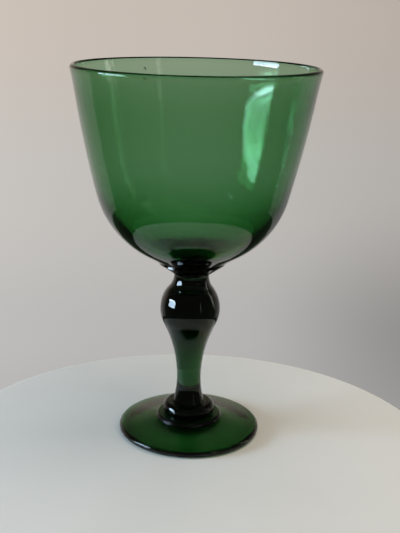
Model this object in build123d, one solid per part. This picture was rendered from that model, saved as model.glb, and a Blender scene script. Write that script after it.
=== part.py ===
from build123d import *
import os

# Large hand-blown goblet: a deep bowl on a merese, a solid baluster stem with one knop, two rounded
# collars and a low conical foot. Every piece is a gather of glass turned about the Z axis, so each
# outline below is drawn in (radius, height), and the pieces meet in flat fused faces.
# Millimetres. Z = 0 is the plane that the foot stands on, and +Z points up out of the bowl.

# Heights of the flat joints, from the foot up
FOOT_TOP_Z = 10.2
COLLAR_JOINT_Z = 14.5
STEM_BASE_Z = 23.8
NECK_Z = 129.7
BOWL_SEAT_Z = 140.6
TOTAL_HEIGHT = 290.0

# Foot
FOOT_RADIUS = 56.3
FOOT_EDGE = 6.2           # thickness of the rounded edge
REST_INNER_RADIUS = 49.5  # the foot stands on a flat ring from here out to its edge rounding
HOLLOW_DEPTH = 5.4        # how far the foot's underside rises in the middle
HOLLOW_SLOPE = 0.35       # its rise per unit inward, where it leaves the rest ring
HOLLOW_TOP_RADIUS = 13.0

# Pontil scar, the rough stub of glass under the foot
SCAR_RADIUS = 10.5
SCAR_DEPTH = 2.6

# Collars: the radius at the lower joint, at the widest point and at the upper joint
LOWER_COLLAR_RADII = (25.2, 26.4, 24.0)
LOWER_COLLAR_WIDEST_Z = 11.9
UPPER_COLLAR_RADII = (19.6, 20.7, 16.4)
UPPER_COLLAR_WIDEST_Z = 19.4

# Stem: arcs from the neck down, which run upright at the neck, the knop's widest point and the waist
NECK_RADIUS = 13.7
NECK_ARC_RADIUS = 14.6
KNOP_TOP_TURN = 40.2
KNOP_ARC_RADIUS = 27.0
TAPER_TURN = 26.8
TAPER_ARC_RADIUS = 103.0
STEM_BASE_RADIUS = 12.85

# Merese
MERESE_RADIUS = 25.6      # its sharp rim
MERESE_RIM_DROP = 1.0     # the rim lies this far under the bowl's seat
MERESE_SEAT_RADIUS = 25.2
MERESE_HOLLOW_RADIUS = 2.5
MERESE_SLOPE = 36.0       # of the underside, above horizontal

# Bowl
RIM_RADIUS = 92.6
BASE_SLOPE = 31.0
BASE_LENGTH = 17.5
SHOULDER_RADIUS = 72.15
SHOULDER_TURN = 44.5
INSIDE_BOTTOM_Z = 144.4
INSIDE_RADIUS = 72.3
INSIDE_TURN = 73.0
FLARE_DEPTH = 20.0        # the wall flares a little over this height under the rim
FLARE_INSET = 3.5
LIP_EDGE = 2.4            # the outer side rolls in over this height
LIP_CREST_INSET = 2.3     # the top of the lip lies this far in from the rim
LIP_THICKNESS = 3.5       # of the bead that the fire leaves along the lip
LIP_BEAD_DEPTH = 1.2      # the bead is thickest this far down
WALL_TOP_INSET = 4.3      # inside of the wall just under the bead, measured in from the rim
WALL_TOP_DEPTH = 7.0      # from here down, the wall thickens to the shoulder


def lathe(lines):
    """Turn a closed outline of (radius, height) lines about the Z axis."""
    outline = Plane.XZ * make_face(Curve() + lines)
    return revolve(outline, Axis.Z)


def next_arc(line, radius, turn):
    """Carry on smoothly from a line's end along an arc. A turn to the right is negative."""
    return JernArc(line @ 1, line % 1, radius, turn)


def bowl():
    seat = Line((0, BOWL_SEAT_Z), (MERESE_SEAT_RADIUS, BOWL_SEAT_Z))
    base = PolarLine(seat @ 1, BASE_LENGTH, BASE_SLOPE)
    shoulder = next_arc(base, SHOULDER_RADIUS, SHOULDER_TURN)
    flare_start = (RIM_RADIUS - FLARE_INSET, TOTAL_HEIGHT - FLARE_DEPTH)
    side = TangentArc(shoulder @ 1, flare_start, tangent=shoulder % 1)
    flare = TangentArc(side @ 1, (RIM_RADIUS, TOTAL_HEIGHT - LIP_EDGE), tangent=side % 1)
    crest = (RIM_RADIUS - LIP_CREST_INSET, TOTAL_HEIGHT)
    bead = (RIM_RADIUS - LIP_THICKNESS, TOTAL_HEIGHT - LIP_BEAD_DEPTH)
    wall_top = (RIM_RADIUS - WALL_TOP_INSET, TOTAL_HEIGHT - WALL_TOP_DEPTH)
    outer_lip = Spline(flare @ 1, crest, tangents=[flare % 1, (-1, 0)])
    inner_lip = Spline(crest, bead, wall_top, tangents=[(-1, 0), -(flare % 1)])
    bottom = JernArc((0, INSIDE_BOTTOM_Z), (1, 0), INSIDE_RADIUS, INSIDE_TURN)
    inside = Spline(inner_lip @ 1, bottom @ 1, tangents=[inner_lip % 1, -(bottom % 1)])
    axis = Line(bottom @ 0, seat @ 0)
    return lathe([seat, base, shoulder, side, flare, outer_lip, inner_lip, inside, bottom, axis])


def merese():
    neck = Line((0, NECK_Z), (NECK_RADIUS, NECK_Z))
    hollow = JernArc(neck @ 1, (0, 1), MERESE_HOLLOW_RADIUS, MERESE_SLOPE - 90)
    rim = (MERESE_RADIUS, BOWL_SEAT_Z - MERESE_RIM_DROP)
    underside = Line(hollow @ 1, rim)
    bevel = Line(rim, (MERESE_SEAT_RADIUS, BOWL_SEAT_Z))
    seat = Line(bevel @ 1, (0, BOWL_SEAT_Z))
    axis = Line(seat @ 1, neck @ 0)
    return lathe([neck, hollow, underside, bevel, seat, axis])


def baluster_stem():
    top = Line((0, NECK_Z), (NECK_RADIUS, NECK_Z))
    neck = JernArc(top @ 1, (0, -1), NECK_ARC_RADIUS, KNOP_TOP_TURN)
    knop_top = next_arc(neck, KNOP_ARC_RADIUS, -KNOP_TOP_TURN)
    knop_bottom = next_arc(knop_top, KNOP_ARC_RADIUS, -TAPER_TURN)
    taper = next_arc(knop_bottom, TAPER_ARC_RADIUS, TAPER_TURN)
    flare = TangentArc(taper @ 1, (STEM_BASE_RADIUS, STEM_BASE_Z), tangent=taper % 1)
    base = Line(flare @ 1, (0, STEM_BASE_Z))
    axis = Line(base @ 1, top @ 0)
    return lathe([top, neck, knop_top, knop_bottom, taper, flare, base, axis])


def collar(low_z, widest_z, high_z, radii):
    """A flat-faced disc of glass with a bulging side, of (lower, widest, upper) radii."""
    low_radius, widest_radius, high_radius = radii
    widest = (widest_radius, widest_z)
    bottom = Line((0, low_z), (low_radius, low_z))
    lower_side = TangentArc(widest, bottom @ 1, tangent=(0, -1))
    upper_side = TangentArc(widest, (high_radius, high_z), tangent=(0, 1))
    top = Line(upper_side @ 1, (0, high_z))
    axis = Line(top @ 1, bottom @ 0)
    return lathe([bottom, lower_side, upper_side, top, axis])


def foot():
    seat_radius = LOWER_COLLAR_RADII[0]
    edge_centre = FOOT_RADIUS - FOOT_EDGE / 2
    top = Line((0, FOOT_TOP_Z), (seat_radius, FOOT_TOP_Z))
    slope = Line(top @ 1, (edge_centre, FOOT_EDGE))
    edge = ThreePointArc(slope @ 1, (FOOT_RADIUS, FOOT_EDGE / 2), (edge_centre, 0))
    rest = Line(edge @ 1, (REST_INNER_RADIUS, 0))
    hollow = Spline(rest @ 1, (HOLLOW_TOP_RADIUS, HOLLOW_DEPTH), tangents=[(-1, HOLLOW_SLOPE), (-1, 0)])
    roof = Line(hollow @ 1, (0, HOLLOW_DEPTH))
    axis = Line(roof @ 1, top @ 0)
    return lathe([top, slope, edge, rest, hollow, roof, axis])


def pontil_scar():
    lowest = (0, HOLLOW_DEPTH - SCAR_DEPTH)
    stub = TangentArc(lowest, (SCAR_RADIUS, HOLLOW_DEPTH), tangent=(1, 0))
    roof = Line(stub @ 1, (0, HOLLOW_DEPTH))
    axis = Line(roof @ 1, lowest)
    return lathe([stub, roof, axis])


pieces = {
    "bowl": bowl(),
    "merese": merese(),
    "baluster_stem": baluster_stem(),
    "upper_collar": collar(COLLAR_JOINT_Z, UPPER_COLLAR_WIDEST_Z, STEM_BASE_Z, UPPER_COLLAR_RADII),
    "lower_collar": collar(FOOT_TOP_Z, LOWER_COLLAR_WIDEST_Z, COLLAR_JOINT_Z, LOWER_COLLAR_RADII),
    "foot": foot(),
    "pontil_scar": pontil_scar(),
}

os.makedirs("parts", exist_ok=True)
for name, solid in pieces.items():
    export_step(solid, f"parts/{name}.step")
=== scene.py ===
import math
import random

import bmesh
import bpy
import numpy as np
from mathutils import Matrix, Vector


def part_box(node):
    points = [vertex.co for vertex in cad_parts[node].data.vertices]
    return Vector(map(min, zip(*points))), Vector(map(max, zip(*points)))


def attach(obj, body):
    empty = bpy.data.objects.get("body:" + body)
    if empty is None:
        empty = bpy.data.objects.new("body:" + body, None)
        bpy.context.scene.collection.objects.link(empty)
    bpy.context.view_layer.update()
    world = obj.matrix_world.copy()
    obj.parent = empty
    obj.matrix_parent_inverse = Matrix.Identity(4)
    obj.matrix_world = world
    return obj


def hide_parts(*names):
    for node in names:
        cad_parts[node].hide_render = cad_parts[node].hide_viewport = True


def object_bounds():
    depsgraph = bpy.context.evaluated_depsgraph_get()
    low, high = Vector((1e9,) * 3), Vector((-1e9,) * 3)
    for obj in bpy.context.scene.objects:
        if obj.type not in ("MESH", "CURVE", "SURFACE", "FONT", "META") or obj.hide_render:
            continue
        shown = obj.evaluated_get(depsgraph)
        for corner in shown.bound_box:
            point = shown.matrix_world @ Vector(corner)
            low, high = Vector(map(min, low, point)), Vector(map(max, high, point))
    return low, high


# Large hand-blown green goblet on a round pale table. Every piece is a gather of glass lathed about
# the Z axis from an outline of (radius, height), in metres. The pieces' heights and widest radii come
# from the frame, and the shapes between them are named below in millimetres.

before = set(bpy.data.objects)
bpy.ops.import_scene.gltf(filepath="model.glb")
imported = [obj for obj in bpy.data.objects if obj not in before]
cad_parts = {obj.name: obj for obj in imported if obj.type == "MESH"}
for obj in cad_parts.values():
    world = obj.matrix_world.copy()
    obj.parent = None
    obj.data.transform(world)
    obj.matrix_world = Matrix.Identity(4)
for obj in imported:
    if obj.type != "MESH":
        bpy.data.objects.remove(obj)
CAD_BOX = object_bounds()
HEIGHT = CAD_BOX[1].z
MM = 0.001
RIGHT_ANGLE = math.pi / 2


def widest(node):
    """The radius of a piece at its widest."""
    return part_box(node)[1].x


def low(node):
    """The height of a piece's lowest point."""
    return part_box(node)[0].z


def high(node):
    """The height of a piece's highest point."""
    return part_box(node)[1].z


# ---- Outlines ----------------------------------------------------------------------------------

STEP_ANGLE = math.radians(1.5)   # a drawn arc turns by at most this between two points
STEP_LENGTH = 1.8 * MM           # and points lie at most about this far apart
CURVE_STEPS = 12                 # a free curve has at least this many steps
FUSED_GAP = 0.01 * MM            # fused faces stand this far back from the joint


class Outline:
    """A path of (radius, height) points that a pen draws. It knows which stretches are fused faces."""

    def __init__(self, radius, height):
        self.points = [Vector((radius, height))]
        self.fused = []
        self.heading = 0.0   # radians, 0 is outward and a quarter turn is up

    def line_to(self, radius, height, fused=False):
        start, end = self.points[-1], Vector((radius, height))
        run = end - start
        self.heading = math.atan2(run.y, run.x)
        steps = 1 if fused else max(1, math.ceil(run.length / STEP_LENGTH))
        for step in range(1, steps + 1):
            self.points.append(start.lerp(end, step / steps))
            self.fused.append(fused)
        return self

    def line(self, length, slope):
        """Carry on straight for a length, at a slope above outward."""
        end = self.points[-1] + length * Vector((math.cos(slope), math.sin(slope)))
        return self.line_to(*end)

    def arc(self, radius, turn):
        """Carry on along an arc. A turn to the left is positive."""
        steps = max(2, math.ceil(abs(turn) / STEP_ANGLE), math.ceil(radius * abs(turn) / STEP_LENGTH))
        side = math.copysign(1.0, turn)
        start, first = self.points[-1], self.heading
        to_centre = radius * side * Vector((-math.sin(first), math.cos(first)))
        for step in range(1, steps + 1):
            angle = turn * step / steps
            self.points.append(start + to_centre - Matrix.Rotation(angle, 2) @ to_centre)
            self.fused.append(False)
        self.heading = first + turn
        return self

    def arc_to(self, radius, height):
        """Carry on along the one arc that ends at a point."""
        chord = Vector((radius, height)) - self.points[-1]
        lead = math.remainder(math.atan2(chord.y, chord.x) - self.heading, math.tau)
        return self.arc(chord.length / (2 * abs(math.sin(lead))), 2 * lead)

    def curve_to(self, radius, height, heading):
        """Carry on along a smooth curve that ends at a point with a given heading."""
        start, end = self.points[-1], Vector((radius, height))
        reach = (end - start).length
        leave = reach * Vector((math.cos(self.heading), math.sin(self.heading)))
        arrive = reach * Vector((math.cos(heading), math.sin(heading)))
        steps = max(CURVE_STEPS, math.ceil(reach / STEP_LENGTH))
        for step in range(1, steps + 1):
            t = step / steps
            point = (2 * t**3 - 3 * t**2 + 1) * start + (t**3 - 2 * t**2 + t) * leave
            point += (3 * t**2 - 2 * t**3) * end + (t**3 - t**2) * arrive
            self.points.append(point)
            self.fused.append(False)
        self.heading = heading
        return self


# ---- Pieces' outlines ---------------------------------------------------------------------------

BOWL_BASE_SLOPE = math.radians(31.0)
BOWL_BASE_LENGTH = 17.5 * MM
SHOULDER_RADIUS = 72.15 * MM
SHOULDER_TURN = math.radians(44.5)
INSIDE_FLOOR = 3.8 * MM          # thickness of the bowl's floor over its seat
INSIDE_RADIUS = 72.3 * MM
INSIDE_TURN = math.radians(73.0)
FLARE_DEPTH = 20.0 * MM          # the wall flares a little over this height under the rim
FLARE_INSET = 3.5 * MM
LIP_EDGE = 2.4 * MM              # the outer side rolls in over this height
LIP_CREST_INSET = 2.3 * MM       # the top of the lip lies this far in from the rim
LIP_THICKNESS = 3.5 * MM         # of the bead along the lip
LIP_BEAD_DEPTH = 1.2 * MM        # the bead is thickest this far down
WALL_TOP_INSET = 4.3 * MM        # inside of the wall under the bead, in from the rim
WALL_TOP_DEPTH = 7.0 * MM        # from here down, the wall thickens to the shoulder
SEAT_RADIUS = 25.2 * MM          # of the joint between bowl and merese
MERESE_RIM_DROP = 1.0 * MM       # its sharp rim lies this far under the seat
MERESE_HOLLOW_RADIUS = 2.5 * MM
MERESE_SLOPE = math.radians(36.0)
NECK_RADIUS = 13.7 * MM
NECK_ARC_RADIUS = 14.6 * MM
KNOP_TOP_TURN = math.radians(40.2)
KNOP_ARC_RADIUS = 27.0 * MM
TAPER_TURN = math.radians(26.8)
TAPER_ARC_RADIUS = 103.0 * MM
STEM_BASE_RADIUS = 12.85 * MM
UPPER_COLLAR_RADII = (19.6 * MM, 16.4 * MM)   # at the lower and the upper joint
UPPER_COLLAR_WIDEST = 4.9 * MM                # height of the widest point over the lower joint
LOWER_COLLAR_RADII = (25.2 * MM, 24.0 * MM)
LOWER_COLLAR_WIDEST = 1.7 * MM
FOOT_EDGE = 6.2 * MM             # thickness of the foot's rounded edge
REST_INNER_RADIUS = 49.5 * MM    # of the flat ring that the foot stands on
HOLLOW_DEPTH = 5.4 * MM          # how far the foot's underside rises in the middle
HOLLOW_SLOPE = 0.35              # its rise per unit inward, where it leaves the rest ring
HOLLOW_TOP_RADIUS = 13.0 * MM
SCAR_RADIUS = 10.5 * MM


def bowl_outline():
    seat, top, rim = low("bowl") + FUSED_GAP, high("bowl"), widest("bowl")
    draw = Outline(0, seat)
    draw.line_to(SEAT_RADIUS, seat, fused=True)
    draw.line(BOWL_BASE_LENGTH, BOWL_BASE_SLOPE)
    draw.arc(SHOULDER_RADIUS, SHOULDER_TURN)
    draw.arc_to(rim - FLARE_INSET, top - FLARE_DEPTH)
    draw.arc_to(rim, top - LIP_EDGE)
    downward = draw.heading + math.pi
    draw.curve_to(rim - LIP_CREST_INSET, top, math.pi)
    draw.curve_to(rim - LIP_THICKNESS, top - LIP_BEAD_DEPTH, -RIGHT_ANGLE)
    draw.curve_to(rim - WALL_TOP_INSET, top - WALL_TOP_DEPTH, downward)
    floor = low("bowl") + INSIDE_FLOOR
    arc_end = Vector((math.sin(INSIDE_TURN), 1 - math.cos(INSIDE_TURN))) * INSIDE_RADIUS
    draw.curve_to(arc_end.x, floor + arc_end.y, INSIDE_TURN + math.pi)
    draw.arc(INSIDE_RADIUS, -INSIDE_TURN)
    return draw


def merese_outline():
    neck, seat = low("merese") + FUSED_GAP, high("merese") - FUSED_GAP
    draw = Outline(0, neck)
    draw.line_to(NECK_RADIUS, neck, fused=True)
    draw.heading = RIGHT_ANGLE
    draw.arc(MERESE_HOLLOW_RADIUS, MERESE_SLOPE - RIGHT_ANGLE)
    draw.line_to(widest("merese"), seat - MERESE_RIM_DROP)
    draw.line_to(SEAT_RADIUS, seat)
    draw.line_to(0, seat, fused=True)
    return draw


def stem_outline():
    base, neck = low("baluster_stem") + FUSED_GAP, high("baluster_stem") - FUSED_GAP
    draw = Outline(NECK_RADIUS, neck)
    draw.heading = -RIGHT_ANGLE
    draw.arc(NECK_ARC_RADIUS, KNOP_TOP_TURN)
    draw.arc(KNOP_ARC_RADIUS, -KNOP_TOP_TURN)
    draw.arc(KNOP_ARC_RADIUS, -TAPER_TURN)
    draw.arc(TAPER_ARC_RADIUS, TAPER_TURN)
    draw.arc_to(STEM_BASE_RADIUS, base)
    return turned_upward(draw, base).line_to(0, neck, fused=True)


def turned_upward(draw, base):
    """Reverse a side that was drawn downward, after the fused face that it stands on."""
    draw.points.reverse()
    draw.fused.reverse()
    draw.points.insert(0, Vector((0, base)))
    draw.fused.insert(0, True)
    draw.heading = RIGHT_ANGLE
    return draw


def collar_outline(node, radii, widest_height, next_radius):
    """A bulging side between two flat faces. What stands on it is fused out to the next radius."""
    base, top = low(node) + FUSED_GAP, high(node) - FUSED_GAP
    lower_side = Outline(widest(node), low(node) + widest_height)
    lower_side.heading = -RIGHT_ANGLE
    lower_side.arc_to(radii[0], base)
    draw = turned_upward(lower_side, base)
    draw.arc_to(radii[1], top)
    draw.line_to(next_radius, top)
    return draw.line_to(0, top, fused=True)


def foot_outline():
    top, edge = high("foot") - FUSED_GAP, widest("foot")
    roof = HOLLOW_DEPTH + FUSED_GAP
    edge_centre = edge - FOOT_EDGE / 2
    draw = Outline(0, roof)
    draw.line_to(SCAR_RADIUS, roof, fused=True)
    draw.line_to(HOLLOW_TOP_RADIUS, roof)
    draw.curve_to(REST_INNER_RADIUS, 0, -math.atan(HOLLOW_SLOPE))
    draw.line_to(edge_centre, 0)
    draw.arc(FOOT_EDGE / 2, math.pi)
    draw.line_to(LOWER_COLLAR_RADII[0], top)
    draw.line_to(0, top, fused=True)
    return draw


def scar_outline():
    roof = HOLLOW_DEPTH - FUSED_GAP
    draw = Outline(0, low("pontil_scar"))
    draw.arc_to(SCAR_RADIUS, roof)
    draw.line_to(0, roof, fused=True)
    return draw


# ---- Meshes -------------------------------------------------------------------------------------

SEGMENTS = 400
SHARP_ANGLE = math.radians(28)
ON_AXIS = 1e-4 * MM              # a radius under this is a point on the axis
RIPPLE_HEIGHT = 0.03 * MM        # of the streaks that run up the glass
CHIP_HEIGHT = 0.3 * MM           # of the scar's broken surface
RIPPLE_FADE = 10 * MM            # both fade out from this radius in to the axis
BOWL_SEEDS = 26
BOWL_SEED_RADII = (0.15, 0.42)   # millimetres
BIG_SEED = (math.radians(118), HEIGHT - 9.5 * MM, 1.05 * MM, 1.3)   # angle, height, radius, stretch
FOOT_SEEDS = 7
FOOT_SEED_RADII = (0.2, 0.4)     # millimetres
FOOT_SEED_PLACES = (28, 50)      # nearest and furthest from the axis, in millimetres
FOOT_SEED_HEIGHT = 5.2 * MM
FOOT_MARK = Vector((-31 * MM, 1 * MM, 6.8 * MM))
FOOT_MARK_RADIUS = 0.6 * MM


def ripples(seed, count, turns, rises):
    """A smooth random wave over angle and height, about 1 high, that closes round the piece."""
    draw = random.Random(seed)
    waves = []
    for _ in range(count):
        waves.append((draw.randint(*turns), draw.uniform(*rises), draw.uniform(0, math.tau)))

    def wave(angle, height):
        return sum(np.sin(n * angle + k * height + p) for n, k, p in waves) / math.sqrt(count)

    return wave


def lean(height):
    """The pieces were joined a little off their common axis: how far each height lies towards +X."""
    merese, seat = low("merese"), low("bowl")
    shifts = {
        0.0: 0.7 * MM,
        0.1 * HEIGHT: -0.2 * MM,
        0.9 * merese: -0.5 * MM,
        (merese + seat) / 2: 0.5 * MM,
        1.07 * seat: 0.0,
        0.7 * HEIGHT: -0.2 * MM,
        HEIGHT: 0.4 * MM,
    }
    return np.interp(height, list(shifts.keys()), list(shifts.values()))


def bubble(centre, radius, stretch):
    """A small closed hollow, drawn out upward by the blowing. Its faces look into the hollow."""
    shell = bmesh.new()
    bmesh.ops.create_icosphere(shell, subdivisions=2, radius=radius)
    bmesh.ops.transform(shell, matrix=Matrix.Diagonal((1, 1, stretch, 1)), verts=shell.verts)
    points = [tuple(centre + vert.co) for vert in shell.verts]
    faces = [tuple(vert.index for vert in reversed(face.verts)) for face in shell.faces]
    shell.free()
    return points, faces


def wall_middle(outline, height):
    """The radius halfway through the bowl's wall at a height."""
    crest = max(range(len(outline.points)), key=lambda k: outline.points[k].y)
    sides = outline.points[:crest + 1], outline.points[:crest - 1:-1]
    return sum(np.interp(height, [p.y for p in side], [p.x for p in side]) for side in sides) / 2


def bowl_bubbles(outline):
    """Seeds in the bowl's wall, of which one large one lies at the back, left of the middle."""
    draw = random.Random(11)
    shoulder, rim = low("bowl") + 0.35 * (HEIGHT - low("bowl")), HEIGHT - 4 * MM
    seeds = [BIG_SEED]
    for _ in range(BOWL_SEEDS):
        size = draw.uniform(*BOWL_SEED_RADII) * MM
        angle, height = draw.uniform(0, math.tau), draw.uniform(shoulder, rim)
        seeds.append((angle, height, size, draw.uniform(1.0, 2.2)))
    shells = []
    for angle, height, radius, stretch in seeds:
        reach = wall_middle(outline, height)
        centre = Vector((reach * math.cos(angle), reach * math.sin(angle), height))
        shells.append(bubble(centre, radius, stretch))
    return shells


def foot_bubbles():
    """A few round seeds in the foot, with the largest on its left."""
    draw = random.Random(4)
    shells = [bubble(FOOT_MARK, FOOT_MARK_RADIUS, 1.0)]
    for _ in range(FOOT_SEEDS):
        angle, reach = draw.uniform(0, math.tau), draw.uniform(*FOOT_SEED_PLACES) * MM
        centre = Vector((reach * math.cos(angle), reach * math.sin(angle), FOOT_SEED_HEIGHT))
        shells.append(bubble(centre, draw.uniform(*FOOT_SEED_RADII) * MM, 1.0))
    return shells


def ring_corners(outline, wave, wave_height):
    """The corners of all rings, and each ring's corner numbers. On the axis a ring is one corner."""
    angles = np.arange(SEGMENTS) * (math.tau / SEGMENTS)
    corners, rings = [], []
    count = 0
    for radius, height in outline.points:
        if radius < ON_AXIS:
            ring = np.array([[0.0, 0.0, height]])
        else:
            swell = wave_height * wave(angles, height) * min(1, radius / RIPPLE_FADE) if wave else 0.0
            reach = radius + swell
            ring = np.stack([reach * np.cos(angles), reach * np.sin(angles), np.full(SEGMENTS, height)], 1)
        corners.append(ring)
        rings.append(range(count, count + len(ring)))
        count += len(ring)
    return np.concatenate(corners), rings


def faces_between(near, far):
    """The faces between two neighbouring rings, either of which may be one corner on the axis."""
    faces = []
    for j in range(SEGMENTS):
        after = (j + 1) % SEGMENTS
        if len(near) == 1:
            faces.append((near[0], far[after], far[j]))
        elif len(far) == 1:
            faces.append((near[j], near[after], far[0]))
        else:
            faces.append((near[j], near[after], far[after], far[j]))
    return faces


def lathe(name, outline, wave=None, wave_height=0.0, shells=()):
    """Turn an outline about Z, with faint ripples in its surface and hollow shells inside it."""
    corners, rings = ring_corners(outline, wave, wave_height)
    corners[:, 0] += lean(corners[:, 2])
    faces, fused = [], []
    for near, far, is_fused in zip(rings, rings[1:], outline.fused):
        faces += faces_between(near, far)
        fused += [float(is_fused)] * SEGMENTS
    for points, shell_faces in shells:
        faces += [tuple(len(corners) + k for k in face) for face in shell_faces]
        fused += [0.0] * len(shell_faces)
        corners = np.concatenate([corners, points])
    mesh = bpy.data.meshes.new(name)
    mesh.from_pydata(corners.tolist(), [], faces)
    flag = mesh.attributes.new("fused", "FLOAT", "FACE")
    flag.data.foreach_set("value", fused)
    mesh.shade_smooth()
    mesh.set_sharp_from_angle(angle=SHARP_ANGLE)
    mesh.validate()
    piece = bpy.data.objects.new(name, mesh)
    bpy.context.scene.collection.objects.link(piece)
    return piece


# ---- Materials ----------------------------------------------------------------------------------

GLASS_IOR = 1.5
ABSORPTION = 300.0                        # per metre
GLASS_TINT = (0.133, 0.533, 0.2, 1.0)     # what a volume of that density lets through
SMUDGE_SCALES = (38, 38, 22)              # of the noise, per metre along each axis, as below
SMUDGE_ROUGHNESS = 0.045
DUST_SCALES = (900, 900, 900)
DUST_ROUGHNESS = 0.25
WEAR_HEIGHTS = (0.05 * MM, 0.3 * MM)      # the worn ring fades out between these
WEAR_ROUGHNESS = 0.12
SCAR_ROUGHNESS = 0.35
STREAK_SCALES = (330, 330, 7)
RING_SCALES = (14, 14, 1100)
RING_HEIGHTS = (0.86 * HEIGHT, 0.98 * HEIGHT)   # the rings grow stronger between these
RINGS_LOW_DOWN = 0.1                      # their strength under that
RING_SHARE = 0.5                          # their depth, in that of the streaks
BUMP_DISTANCE = 0.05 * MM


def new_material(name):
    material = bpy.data.materials.new(name)
    material.use_nodes = True
    material.node_tree.nodes.clear()
    return material, material.node_tree.nodes, material.node_tree.links


def math_node(nodes, links, operation, *values):
    """A Math node whose inputs are numbers or other nodes' outputs."""
    node = nodes.new("ShaderNodeMath")
    node.operation = operation
    for socket, value in zip(node.inputs, values):
        if isinstance(value, (int, float)):
            socket.default_value = value
        else:
            links.new(value, socket)
    return node.outputs[0]


def noise(nodes, links, scales, detail):
    """Noise over the piece's own place, with a scale per metre along each axis."""
    place = nodes.new("ShaderNodeTexCoord")
    stretch = nodes.new("ShaderNodeVectorMath")
    stretch.operation = "MULTIPLY"
    stretch.inputs[1].default_value = scales
    links.new(place.outputs["Object"], stretch.inputs[0])
    texture = nodes.new("ShaderNodeTexNoise")
    texture.inputs["Scale"].default_value = 1.0
    texture.inputs["Detail"].default_value = detail
    links.new(stretch.outputs[0], texture.inputs["Vector"])
    return texture.outputs["Fac"]


def object_height(nodes, links):
    """The height over the table, for every piece keeps its origin at the goblet's."""
    place = nodes.new("ShaderNodeTexCoord")
    split = nodes.new("ShaderNodeSeparateXYZ")
    links.new(place.outputs["Object"], split.inputs[0])
    return split.outputs["Z"]


def band(nodes, links, value, start, end, low_level, high_level):
    """Carry a value from one range over to another, smoothly and within its ends."""
    node = nodes.new("ShaderNodeMapRange")
    node.interpolation_type = "SMOOTHSTEP"
    numbers = {"From Min": start, "From Max": end, "To Min": low_level, "To Max": high_level}
    for name, number in numbers.items():
        node.inputs[name].default_value = number
    links.new(value, node.inputs["Value"])
    return node.outputs[0]


def shader_roughness(nodes, links, shader, least):
    """Faint smudges, dust in fine specks, and a worn ring where the foot stands."""
    patches = noise(nodes, links, SMUDGE_SCALES, 4)
    smudges = band(nodes, links, patches, 0.55, 0.75, 0.0, SMUDGE_ROUGHNESS)
    specks = noise(nodes, links, DUST_SCALES, 2)
    dust = band(nodes, links, specks, 0.72, 0.78, 0.0, DUST_ROUGHNESS)
    wear = band(nodes, links, object_height(nodes, links), *WEAR_HEIGHTS, WEAR_ROUGHNESS, 0.0)
    marks = math_node(nodes, links, "MAXIMUM", smudges, dust)
    worn = math_node(nodes, links, "MAXIMUM", marks, wear)
    total = math_node(nodes, links, "MAXIMUM", worn, least)
    links.new(total, shader.inputs["Roughness"])


def shader_bump(nodes, links, shader):
    """Upright streaks from the blowing, and fine rings from the tools close to the lip."""
    streaks = noise(nodes, links, STREAK_SCALES, 3)
    rings = noise(nodes, links, RING_SCALES, 2)
    near_lip = band(nodes, links, object_height(nodes, links), *RING_HEIGHTS, RINGS_LOW_DOWN, 1.0)
    rings = math_node(nodes, links, "MULTIPLY", rings, near_lip)
    height = math_node(nodes, links, "MULTIPLY_ADD", rings, RING_SHARE, streaks)
    bump = nodes.new("ShaderNodeBump")
    bump.inputs["Strength"].default_value = 1.0
    bump.inputs["Distance"].default_value = BUMP_DISTANCE
    links.new(height, bump.inputs["Height"])
    links.new(bump.outputs[0], shader.inputs["Normal"])


def green_glass(name, least_roughness):
    """Glass that is green all through. Light passes straight through the faces that are fused."""
    material, nodes, links = new_material(name)
    output = nodes.new("ShaderNodeOutputMaterial")
    shader = nodes.new("ShaderNodeBsdfPrincipled")
    shader.inputs["Base Color"].default_value = (1, 1, 1, 1)
    shader.inputs["Transmission Weight"].default_value = 1.0
    fused = nodes.new("ShaderNodeAttribute")
    fused.attribute_name = "fused"
    change = 1.0 - GLASS_IOR
    index = math_node(nodes, links, "MULTIPLY_ADD", fused.outputs["Fac"], change, GLASS_IOR)
    links.new(index, shader.inputs["IOR"])
    shader_roughness(nodes, links, shader, least_roughness)
    shader_bump(nodes, links, shader)
    volume = nodes.new("ShaderNodeVolumeAbsorption")
    volume.inputs["Color"].default_value = GLASS_TINT
    volume.inputs["Density"].default_value = ABSORPTION
    links.new(shader.outputs[0], output.inputs["Surface"])
    links.new(volume.outputs[0], output.inputs["Volume"])
    return material


# ---- The goblet ---------------------------------------------------------------------------------

def finish_piece(piece, material, node):
    piece.data.materials.append(material)
    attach(piece, "root")
    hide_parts(node)


def goblet():
    """All seven pieces. The scar's broken glass is rougher and has a surface of its own."""
    glass = green_glass("green_glass", 0.0)
    broken_glass = green_glass("broken_green_glass", SCAR_ROUGHNESS)
    streaks = ripples(3, 24, (3, 26), (-30.0, 30.0))
    chips = ripples(8, 30, (2, 19), (-3000.0, 3000.0))
    lower_next, upper_next = UPPER_COLLAR_RADII[0], STEM_BASE_RADIUS
    outlines = {
        "bowl": bowl_outline(),
        "merese": merese_outline(),
        "baluster_stem": stem_outline(),
        "upper_collar": collar_outline("upper_collar", UPPER_COLLAR_RADII, UPPER_COLLAR_WIDEST, upper_next),
        "lower_collar": collar_outline("lower_collar", LOWER_COLLAR_RADII, LOWER_COLLAR_WIDEST, lower_next),
        "foot": foot_outline(),
    }
    shells = {"bowl": bowl_bubbles(outlines["bowl"]), "foot": foot_bubbles()}
    for node, outline in outlines.items():
        piece = lathe(f"glass_{node}", outline, streaks, RIPPLE_HEIGHT, shells.get(node, ()))
        finish_piece(piece, glass, node)
    scar = lathe("glass_pontil_scar", scar_outline(), chips, CHIP_HEIGHT)
    finish_piece(scar, broken_glass, "pontil_scar")


# ---- Studio -------------------------------------------------------------------------------------

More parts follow.
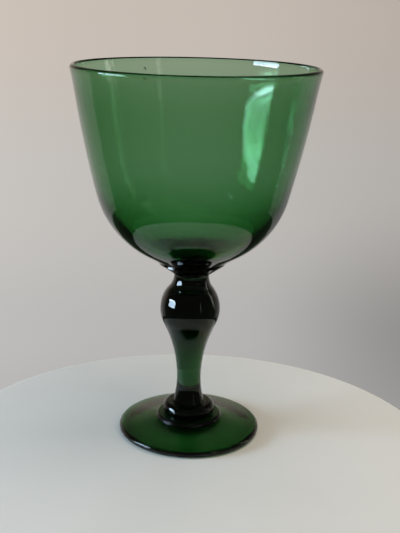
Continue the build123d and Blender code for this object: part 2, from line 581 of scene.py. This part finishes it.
CAMERA_DISTANCE = 2.421 * HEIGHT
CAMERA_HEIGHT = 1.1754 * HEIGHT
CAMERA_PITCH = math.radians(16.225)
CAMERA_YAW = math.radians(0.534)
CAMERA_ROLL = math.radians(1.446)
LENS = 63.5                      # focal length in millimetres
TABLE_RADIUS = 0.68 * HEIGHT
TABLE_CENTRE = (0.004 * HEIGHT, -0.116 * HEIGHT)
TABLE_GAP = 0.3 * MM             # air under the foot, which touches the table only here and there
TABLE_THICKNESS = 18 * MM
TABLE_EDGE = 3 * MM              # radius of its rounded edge
TABLE_PAINTS = ((0.3, (0.785, 0.785, 0.775)), (0.7, (0.815, 0.815, 0.805)))
TABLE_PAINT_SCALES = (9, 9, 9)
TABLE_SHEEN_SCALES = (14, 14, 14)
TABLE_ROUGHNESSES = (0.5, 0.68)


def make_camera():
    """In front of the goblet and a little above its rim, looking down."""
    data = bpy.data.cameras.new("camera")
    data.lens = LENS
    camera = bpy.data.objects.new("camera", data)
    bpy.context.scene.collection.objects.link(camera)
    camera.matrix_world = (
        Matrix.Translation((0, -CAMERA_DISTANCE, CAMERA_HEIGHT))
        @ Matrix.Rotation(-CAMERA_YAW, 4, "Z")
        @ Matrix.Rotation(RIGHT_ANGLE - CAMERA_PITCH, 4, "X")
        @ Matrix.Rotation(CAMERA_ROLL, 4, "Z")
    )
    bpy.context.scene.camera = camera
    return camera


def table_material():
    """Pale paint, a little uneven in its colour and sheen."""
    material, nodes, links = new_material("table")
    output = nodes.new("ShaderNodeOutputMaterial")
    shader = nodes.new("ShaderNodeBsdfPrincipled")
    paint = ramp(nodes, TABLE_PAINTS)
    links.new(noise(nodes, links, TABLE_PAINT_SCALES, 5), paint.inputs["Fac"])
    links.new(paint.outputs["Color"], shader.inputs["Base Color"])
    wiped = noise(nodes, links, TABLE_SHEEN_SCALES, 4)
    links.new(band(nodes, links, wiped, 0.3, 0.7, *TABLE_ROUGHNESSES), shader.inputs["Roughness"])
    links.new(shader.outputs[0], output.inputs["Surface"])
    return material


def table():
    """A round top with a rounded edge. The goblet stands a little behind its middle."""
    draw = Outline(0, -TABLE_THICKNESS)
    draw.line_to(TABLE_RADIUS - TABLE_EDGE, -TABLE_THICKNESS, fused=True)
    draw.arc(TABLE_EDGE, RIGHT_ANGLE)
    draw.line_to(TABLE_RADIUS, -TABLE_EDGE)
    draw.arc(TABLE_EDGE, RIGHT_ANGLE)
    draw.line_to(0, 0, fused=True)
    top = lathe("table", draw)
    top.data.transform(Matrix.Translation((*TABLE_CENTRE, -TABLE_GAP)))
    top.data.materials.append(table_material())


WALL_RADIUS = 1.25
WALL_LOW, WALL_HIGH = -0.52, 1.3
WALL_ARC = (math.radians(19), math.radians(161))   # from the right-hand end round to the left
WALL_COLUMNS = 48
WALL_UPWARD = (                  # the wall's glow, painted light and shade, from its foot to its dim head
    (0.0, (0.45, 0.44, 0.43)),
    (0.08, (0.475, 0.465, 0.455)),
    (0.24, (0.53, 0.51, 0.485)),
    (0.46, (0.565, 0.50, 0.445)),
    (0.56, (0.32, 0.29, 0.25)),
    (0.70, (0.16, 0.15, 0.13)),
    (1.0, (0.12, 0.11, 0.1)),
)
WALL_ACROSS = (                  # and its painted light, from its right-hand end to its left
    (0.0, (0.6, 0.6, 0.6)),
    (0.30, (0.80, 0.80, 0.80)),
    (0.52, (0.99, 0.99, 0.99)),
    (0.7, (1.10, 1.10, 1.10)),
    (1.0, (0.8, 0.8, 0.8)),
)
SHADE = ((0.0, (0.72, 0.71, 0.71)), (0.55, (1.0, 1.0, 1.0)))   # from the painted shadow's middle outward
SHADE_PLACE = (0.33, 0.1)        # shares of the wall's width and height
SHADE_SCALE = (4, 3)             # the higher, the narrower the shade along the wall and upward


def ramp(nodes, stops):
    """A smooth run of colours through stops of (place, colour)."""
    node = nodes.new("ShaderNodeValToRGB")
    node.color_ramp.interpolation = "EASE"
    elements = node.color_ramp.elements
    elements[0].position, elements[1].position = stops[0][0], stops[-1][0]
    elements[0].color, elements[-1].color = (*stops[0][1], 1), (*stops[-1][1], 1)
    for place, colour in stops[1:-1]:
        elements.new(place).color = (*colour, 1)
    return node


def multiply(nodes, links, first, second):
    """The product of two colours."""
    product = nodes.new("ShaderNodeVectorMath")
    product.operation = "MULTIPLY"
    links.new(first, product.inputs[0])
    links.new(second, product.inputs[1])
    return product.outputs[0]


def shade_reach(nodes, links, place):
    """How far a place on the wall lies from the middle of its shade."""
    centred = nodes.new("ShaderNodeMapping")
    centred.vector_type = "POINT"
    middle = [-share * scale for share, scale in zip(SHADE_PLACE, SHADE_SCALE)]
    centred.inputs["Location"].default_value = (*middle, 0)
    centred.inputs["Scale"].default_value = (*SHADE_SCALE, 0)
    links.new(place, centred.inputs["Vector"])
    reach = nodes.new("ShaderNodeVectorMath")
    reach.operation = "LENGTH"
    links.new(centred.outputs[0], reach.inputs[0])
    return reach.outputs["Value"]


def wall_material():
    """A pale wall, warmer towards the top, lighter towards the left and shaded at the lower right."""
    # The glow is painted light: lighter towards the left, dim at its head, with a painted shadow at the
    # lower right.
    material, nodes, links = new_material("backdrop")
    output = nodes.new("ShaderNodeOutputMaterial")
    glow = nodes.new("ShaderNodeEmission")
    place = nodes.new("ShaderNodeUVMap").outputs["UV"]
    split = nodes.new("ShaderNodeSeparateXYZ")
    links.new(place, split.inputs[0])
    upward, across, shade = ramp(nodes, WALL_UPWARD), ramp(nodes, WALL_ACROSS), ramp(nodes, SHADE)
    links.new(split.outputs["Y"], upward.inputs["Fac"])
    links.new(split.outputs["X"], across.inputs["Fac"])
    links.new(shade_reach(nodes, links, place), shade.inputs["Fac"])
    colour = multiply(nodes, links, upward.outputs["Color"], across.outputs["Color"])
    colour = multiply(nodes, links, colour, shade.outputs["Color"])
    links.new(colour, glow.inputs["Color"])
    links.new(glow.outputs[0], output.inputs["Surface"])
    material.cycles.emission_sampling = "NONE"
    return material


def backdrop():
    """The wall, a part of an upright cylinder round the goblet."""
    verts, faces, places = [], [], []
    for k in range(WALL_COLUMNS + 1):
        share = k / WALL_COLUMNS
        angle = WALL_ARC[0] + share * (WALL_ARC[1] - WALL_ARC[0])
        for height, rise in ((WALL_LOW, 0.0), (WALL_HIGH, 1.0)):
            verts.append((WALL_RADIUS * math.cos(angle), WALL_RADIUS * math.sin(angle), height))
            places.append((share, rise))
    for k in range(WALL_COLUMNS):
        faces.append((2 * k, 2 * k + 2, 2 * k + 3, 2 * k + 1))
    mesh = bpy.data.meshes.new("backdrop")
    mesh.from_pydata(verts, [], faces)
    uv = mesh.uv_layers.new(name="UVMap")
    for loop in mesh.loops:
        uv.data[loop.index].uv = places[loop.vertex_index]
    screen = bpy.data.objects.new("backdrop", mesh)
    bpy.context.scene.collection.objects.link(screen)
    mesh.materials.append(wall_material())
    return screen


def area_light(name, place, target, width, height, colour, radiance):
    """A lit rectangle at a place, which faces its target."""
    data = bpy.data.lights.new(name, "AREA")
    data.shape = "RECTANGLE"
    data.size, data.size_y = width, height
    data.color = colour
    data.energy = radiance * math.pi * width * height
    light = bpy.data.objects.new(name, data)
    bpy.context.scene.collection.objects.link(light)
    aim = Vector(target) - Vector(place)
    light.matrix_world = Matrix.Translation(place) @ aim.to_track_quat("-Z", "Y").to_matrix().to_4x4()
    return light


WINDOW_DISTANCE = 1.4             # from the goblet's axis
WINDOW_SILL, WINDOW_HEAD = 0.12, 0.61
WINDOW_STRIPS = (                 # near and far end along Y, height of the skyline
    (-0.76, -0.46, 0.555),
    (-0.46, -0.22, 0.530),
    (-0.22, 0.05, 0.490),
)
SKY, SKY_RADIANCE = (0.59, 0.76, 1.0), 38.0
GARDEN, GARDEN_RADIANCE = (0.60, 0.78, 0.98), 18.0
GLINT_COLOUR = (1.0, 0.97, 0.9)
GLINTS = (                        # place, width, height and radiance of narrow bright gaps at the right
    ((1.3, 0.30, 0.45), 0.12, 0.9, 2.6),
    ((1.3, 0.13, 0.45), 0.03, 0.9, 3.0),
    ((0.95, -1.1, 0.40), 0.12, 0.9, 1.2),
)
SKYLIGHT_PLACE, SKYLIGHT_TARGET = (0.5, -0.2, 1.5), (0.1, -0.1, 0.0)
SKYLIGHT_SIZE = (1.6, 1.6)
SKYLIGHT, SKYLIGHT_RADIANCE = (1.0, 0.88, 0.73), 1.95


def window():
    """A window at the left, with the sky over a darker garden, and three narrow gaps at the right."""
    panes = []
    for near, far, skyline in WINDOW_STRIPS:
        for low_edge, high_edge, colour, radiance in (
            (WINDOW_SILL, skyline, GARDEN, GARDEN_RADIANCE),
            (skyline, WINDOW_HEAD, SKY, SKY_RADIANCE),
        ):
            place = Vector((-WINDOW_DISTANCE, (near + far) / 2, (low_edge + high_edge) / 2))
            inward = place + Vector((1, 0, 0))
            width, height = far - near, high_edge - low_edge
            name = f"window_{len(panes)}"
            panes.append(area_light(name, place, inward, width, height, colour, radiance))
    for place, width, height, radiance in GLINTS:
        level = Vector((0, 0, place[2]))
        name = f"glint_{len(panes)}"
        panes.append(area_light(name, place, level, width, height, GLINT_COLOUR, radiance))
    return panes


def skylight():
    """Soft warm light from above and to the right, which is not seen in the glass."""
    size, colour = SKYLIGHT_SIZE, SKYLIGHT
    light = area_light("skylight", SKYLIGHT_PLACE, SKYLIGHT_TARGET, *size, colour, SKYLIGHT_RADIANCE)
    light.visible_glossy = False
    return light


ROOM_LIGHT = (0.13, 0.135, 0.115)
ROOM_FLOOR = (0.05, 0.052, 0.045)
ROOM_RISE = (-0.62, -0.32)          # the floor turns into the room between these upward slopes
ROOM_BEHIND = (0.45, 0.44, 0.43)    # what shows past the ends of the wall


def room():
    """A dim room over a dark floor. The camera sees a plain pale ground where no wall stands."""
    world = bpy.data.worlds.new("room")
    world.use_nodes = True
    nodes, links = world.node_tree.nodes, world.node_tree.links
    light, behind = nodes["Background"], nodes.new("ShaderNodeBackground")
    behind.inputs["Color"].default_value = (*ROOM_BEHIND, 1)
    place = nodes.new("ShaderNodeTexCoord")
    split = nodes.new("ShaderNodeSeparateXYZ")
    links.new(place.outputs["Generated"], split.inputs[0])
    lift = nodes.new("ShaderNodeMapRange")
    lift.inputs["From Min"].default_value = ROOM_RISE[0]
    lift.inputs["From Max"].default_value = ROOM_RISE[1]
    links.new(split.outputs["Z"], lift.inputs["Value"])
    glow = ramp(nodes, [(0.0, ROOM_FLOOR), (1.0, ROOM_LIGHT)])
    links.new(lift.outputs["Result"], glow.inputs["Fac"])
    links.new(glow.outputs["Color"], light.inputs["Color"])
    seen = nodes.new("ShaderNodeLightPath")
    mix = nodes.new("ShaderNodeMixShader")
    links.new(seen.outputs["Is Camera Ray"], mix.inputs["Fac"])
    links.new(light.outputs[0], mix.inputs[1])
    links.new(behind.outputs[0], mix.inputs[2])
    links.new(mix.outputs[0], nodes["World Output"].inputs["Surface"])
    bpy.context.scene.world = world


def studio(camera):
    """The wall and window keep their places around the camera, as round a turntable."""
    room()
    table()
    rig = [backdrop(), skylight(), *window()]
    bpy.context.view_layer.update()
    for item in rig:
        place = item.matrix_world.copy()
        item.parent = camera
        item.matrix_world = place


TONE_TOE = (                      # darker below the last of these, and hardly changed above it
    (0.008, 0.0034),
    (0.021, 0.0125),
    (0.045, 0.038),
    (0.08, 0.077),
    (0.13, 0.13),
)


def render_settings():
    """A tone curve that deepens only the darkest tones, and enough bounces for glass in glass."""
    scene = bpy.context.scene
    scene.view_settings.view_transform = "Standard"
    curve = scene.view_settings.curve_mapping
    scene.view_settings.use_curve_mapping = True
    combined = curve.curves[3].points
    for place, level in TONE_TOE:
        combined.new(place, level)
    curve.update()
    scene.cycles.max_bounces = 40
    scene.cycles.transmission_bounces = 40
    scene.cycles.glossy_bounces = 12
    scene.cycles.diffuse_bounces = 4
    scene.cycles.transparent_max_bounces = 64
    scene.cycles.sample_clamp_indirect = 40.0   # a lower clamp dims the window's reflection
    scene.cycles.use_denoising = True


camera = make_camera()
goblet()
studio(camera)
render_settings()
